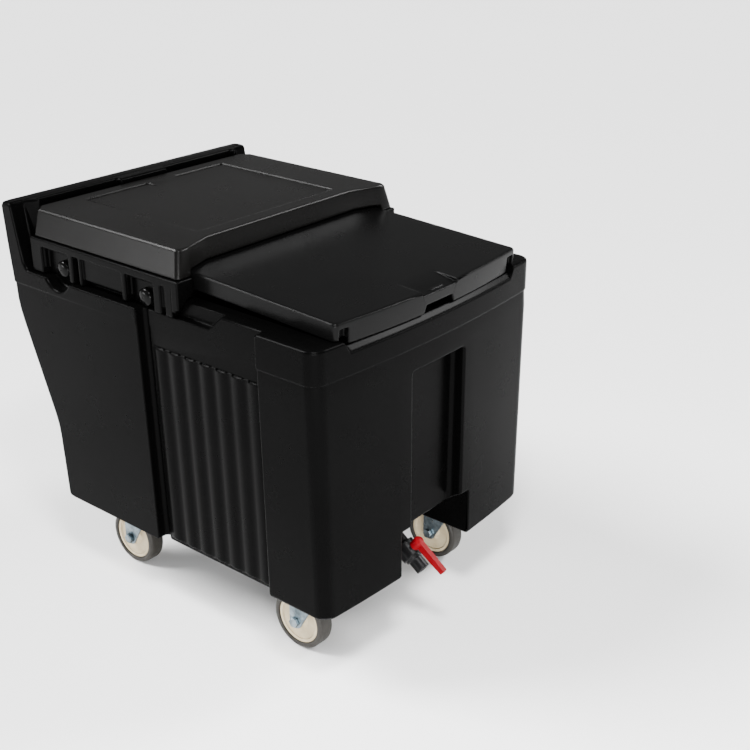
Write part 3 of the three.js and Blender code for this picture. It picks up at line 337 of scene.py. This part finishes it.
def rounded(name, data, material, body, width, segments, *nodes):
    """A piece with its sharp edges rounded and the rest shaded smooth."""
    piece = bpy.data.objects.new(name, data)
    bpy.context.collection.objects.link(piece)
    bevel = piece.modifiers.new("edges", "BEVEL")
    bevel.width = width
    bevel.segments = segments
    bevel.limit_method = "WEIGHT"
    bevel.use_clamp_overlap = False
    bevel.miter_outer = "MITER_ARC"
    normals = piece.modifiers.new("normals", "WEIGHTED_NORMAL")
    normals.keep_sharp = True
    normals.weight = NORMAL_WEIGHT
    return finished(piece, material, body, *nodes)


def softened(node, name, material, body, width, segments=2):
    """A CAD node again, with its edges rounded."""
    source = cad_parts[node]
    mesh = bmesh.new()
    mesh.from_mesh(source.data)
    mesh.transform(source.matrix_world)
    bmesh.ops.remove_doubles(mesh, verts=mesh.verts, dist=MERGE)
    bmesh.ops.dissolve_limit(
        mesh, angle_limit=DISSOLVE_ANGLE, verts=mesh.verts, edges=mesh.edges
    )
    weigh_edges(mesh, width)
    for face in mesh.faces:
        face.smooth = True
    data = bpy.data.meshes.new(name)
    mesh.to_mesh(data)
    mesh.free()
    return rounded(name, data, material, body, width, segments, node)


def spun(node, name, material, body, profile, sides=WHEEL_SIDES):
    """A piece turned round a node's X axis, from (radius, place) pairs."""
    centre = middle(node)
    mesh = bmesh.new()
    rings = []
    for radius, place in profile:
        ring = []
        for side in range(sides):
            angle = 2 * math.pi * side / sides
            offset = Vector((place, radius * math.cos(angle), radius * math.sin(angle)))
            ring.append(mesh.verts.new(centre + offset))
        rings.append(ring)
    for number, ring in enumerate(rings):
        following = rings[(number + 1) % len(rings)]
        for side in range(sides):
            beside = (side + 1) % sides
            mesh.faces.new((ring[side], following[side], following[beside], ring[beside]))
    bmesh.ops.recalc_face_normals(mesh, faces=mesh.faces)
    for face in mesh.faces:
        face.smooth = True
    data = bpy.data.meshes.new(name)
    mesh.to_mesh(data)
    mesh.free()
    piece = bpy.data.objects.new(name, data)
    bpy.context.collection.objects.link(piece)
    normals = piece.modifiers.new("normals", "WEIGHTED_NORMAL")
    normals.keep_sharp = False
    return finished(piece, material, body, node)


def fillet(centre, radius, start, end, steps=5):
    """Points of an arc in a profile, from one angle to another in degrees."""
    points = []
    for step in range(steps + 1):
        angle = math.radians(start + (end - start) * step / steps)
        points.append(
            (centre[0] + radius * math.cos(angle), centre[1] + radius * math.sin(angle))
        )
    return points


softened("tub_body", "tub_shell", BODY, "bin", TUB_EDGE, 4)
softened("cover_shell", "cover_top", COVER, "bin", COVER_EDGE, 4)
for rail in ("cover_rail_left", "cover_rail_right", "cover_rear_bar"):
    softened(rail, f"{rail}_moulding", FRAME, "bin", RAIL_EDGE, 3)
softened("sliding_lid", "lid_panel", LID, "lid", LID_EDGE, 3)
softened("drain_shelf", "shelf_plate", BODY, "shelf", SHELF_EDGE)
softened("drain_bulkhead", "drain_fitting", VALVE, "bin", FITTING_EDGE)
softened("bulkhead_nut", "drain_nut", VALVE, "bin", FITTING_EDGE)
softened("valve_body", "valve_housing", VALVE, "bin", VALVE_EDGE, 3)
softened("valve_lever", "lever_grip", LEVER, "valve_handle", LEVER_EDGE, 4)


def tyre(place):
    low, high = span(f"{place}_tyre")
    half = (high.x - low.x) / 2
    radius = (high.z - low.z) / 2
    inner = radius - TYRE_DEPTH
    right = fillet((radius - TYRE_SHOULDER, half - TYRE_SHOULDER), TYRE_SHOULDER, 0, 90, 8)
    edge = fillet((inner + TYRE_EDGE, half - TYRE_EDGE), TYRE_EDGE, 90, 180, 3)
    outer = [(radius, 0)] + right + edge
    profile = outer + [(r, -x) for r, x in reversed(outer[1:])]
    spun(f"{place}_tyre", f"{place}_tread", TYRE, f"{place}_wheel", profile)


def wheel_disc(place):
    low, high = span(f"{place}_wheel_core")
    half = (high.x - low.x) / 2
    rim = (high.z - low.z) / 2
    face = half - HUB_PROUD - RIM_LIP / 2
    web = face - WEB_DISH
    right = [
        (rim, face - RIM_EDGE),
        *fillet((rim - RIM_EDGE, face - RIM_EDGE), RIM_EDGE, 0, 90, 3),
        *fillet((rim - RIM_LIP, face - RIM_EDGE), RIM_EDGE, 90, 150, 3),
        *fillet((rim - RIM_LIP - WEB_FILLET, web + WEB_FILLET), WEB_FILLET, 320, 270, 4),
        *fillet((HUB_RADIUS + WEB_DISH + HUB_EDGE, web + HUB_EDGE), HUB_EDGE, 270, 220, 3),
        *fillet((HUB_RADIUS - HUB_EDGE, half - HUB_EDGE), HUB_EDGE, 40, 90, 4),
        (HUB_BORE, half),
    ]
    profile = right + [(r, -x) for r, x in reversed(right)]
    spun(f"{place}_wheel_core", f"{place}_wheel_disc", CREAM, f"{place}_wheel", profile)


for place in PLACES:
    tyre(place)
    wheel_disc(place)
    swivel = f"{place}_swivel"
    softened(f"{place}_fork", f"{place}_yoke", ZINC, swivel, FORK_EDGE)
    softened(f"{place}_axle_bolt", f"{place}_axle_head", ZINC, swivel, STEEL_EDGE)
    softened(f"{place}_axle_nut", f"{place}_lock_nut", ZINC, swivel, STEEL_EDGE)
    softened(f"{place}_caster_plate", f"{place}_top_plate", ZINC, "bin", STEEL_EDGE)


def knob(node):
    low, high = span(node)
    radius = (high.z - low.z) / 2
    outward = 1 if high.x > 0 else -1
    tip = (high.x - low.x) / 2
    dome_foot = tip - KNOB_DOME
    rim_back = dome_foot - KNOB_RIM
    profile = [
        (KNOB_BORE, -tip),
        (KNOB_SHANK, -tip),
        (KNOB_SHANK, rim_back),
        (radius - KNOB_EDGE, rim_back),
        (radius, rim_back + KNOB_EDGE),
        *[(radius * out, dome_foot + KNOB_DOME * up) for out, up in dome_shares()],
        (KNOB_BORE, tip),
    ]
    profile = [(r, x * outward) for r, x in profile]
    spun(node, f"{node}_head", KNOB, node, profile, KNOB_SIDES)


def dome_shares():
    """A dome's curve as shares of the radius and the height, from its foot up to near the tip."""
    angles = [math.pi / 2 * step / DOME_STEPS for step in range(DOME_STEPS)]
    return [(math.cos(angle), math.sin(angle)) for angle in angles]


for node in KNOBS:
    knob(node)

# Carried-over CAD nodes
for node, material in {"bulkhead_gasket": GASKET, "valve_ball": POLISHED}.items():
    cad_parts[node].data.materials.clear()
    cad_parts[node].data.materials.append(material)

for place in PLACES:
    for part in ("kingpin", "axle_sleeve"):
        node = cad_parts[f"{place}_{part}"]
        node.data.materials.clear()
        node.data.materials.append(ZINC)


# Stage, light and camera


def floor():
    bpy.ops.mesh.primitive_plane_add(size=FLOOR_SIZE, location=(0, 0, -FLOOR_DROP))
    plane = bpy.context.object
    plane.name = "studio_floor"
    finish = Finish("studio_floor_pale", Specular_IOR_Level=0.1, Roughness=0.9)
    finish.shades(finish.noise(0.4, 2), (0.84, 0.84, 0.84), (0.86, 0.86, 0.86))
    plane.data.materials.append(finish.material)


floor()


def studio_world():
    """Pale surroundings at the horizon that fade to grey overhead."""
    world = bpy.context.scene.world or bpy.data.worlds.new("studio")
    bpy.context.scene.world = world
    world.use_nodes = True
    nodes = world.node_tree.nodes
    links = world.node_tree.links
    direction = nodes.new("ShaderNodeTexCoord").outputs["Generated"]
    split = nodes.new("ShaderNodeSeparateXYZ")
    links.new(direction, split.inputs["Vector"])
    ramp = nodes.new("ShaderNodeValToRGB")
    low, high = ramp.color_ramp.elements
    low.position, high.position = HORIZON_FADE
    low.color = (1, 1, 1, 1)
    high.color = (OVERHEAD_SHARE, OVERHEAD_SHARE, OVERHEAD_SHARE, 1)
    links.new(split.outputs["Z"], ramp.inputs["Fac"])
    links.new(ramp.outputs["Color"], nodes["Background"].inputs["Color"])
    nodes["Background"].inputs["Strength"].default_value = WORLD_STRENGTH


studio_world()


def softbox(name, place, target, size, power):
    data = bpy.data.lights.new(name, "AREA")
    data.shape = "RECTANGLE"
    data.size, data.size_y = size
    data.energy = power
    lamp = bpy.data.objects.new(name, data)
    lamp.location = place
    lamp.rotation_euler = (Vector(target) - Vector(place)).to_track_quat("-Z", "Y").to_euler()
    bpy.context.collection.objects.link(lamp)


def skylight(name, aim, angle, strength):
    """A broad soft source far away, so that the floor is evenly lit."""
    data = bpy.data.lights.new(name, "SUN")
    data.angle = math.radians(angle)
    data.energy = strength
    lamp = bpy.data.objects.new(name, data)
    lamp.rotation_euler = Vector(aim).to_track_quat("-Z", "Y").to_euler()
    bpy.context.collection.objects.link(lamp)


skylight("broad_light", (0.35, 0.45, -1), 60, 0.8)
skylight("front_light", (-0.71, 0.41, -0.57), 20, 4.5)
skylight("rear_light", (0.41, -0.57, -0.71), 26, 8.5)
softbox("front_panel", (-2.9, -3.4, 0.8), (-0.3, -0.35, 0.6), (2.4, 1.2), 300)
softbox("floor_pool", (-0.85, -1.05, 2.4), (-0.8, -1.0, 0), (0.5, 0.5), 110)
softbox("side_panel", (-3.4, 2.5, 0.8), (-0.3, 0.2, 0.7), (1.4, 0.6), 40)


def photo_camera():
    azimuth = math.radians(CAMERA_AZIMUTH)
    elevation = math.radians(CAMERA_ELEVATION)
    roll = math.radians(CAMERA_ROLL)
    back = Vector(
        (
            math.sin(azimuth) * math.cos(elevation),
            -math.cos(azimuth) * math.cos(elevation),
            math.sin(elevation),
        )
    )
    right = (-back).cross(Vector((0, 0, 1))).normalized()
    up = right.cross(-back)
    turned_right = right * math.cos(roll) + up * math.sin(roll)
    turned_up = up * math.cos(roll) - right * math.sin(roll)
    data = bpy.data.cameras.new("photo_camera")
    data.lens = LENS_MM
    data.sensor_width = SENSOR_MM
    data.shift_x, data.shift_y = SHIFT
    camera = bpy.data.objects.new("photo_camera", data)
    turn = Matrix((turned_right, turned_up, back)).transposed().to_4x4()
    camera.matrix_world = Matrix.Translation(CAMERA_PLACE) @ turn
    bpy.context.collection.objects.link(camera)
    bpy.context.scene.camera = camera


photo_camera()
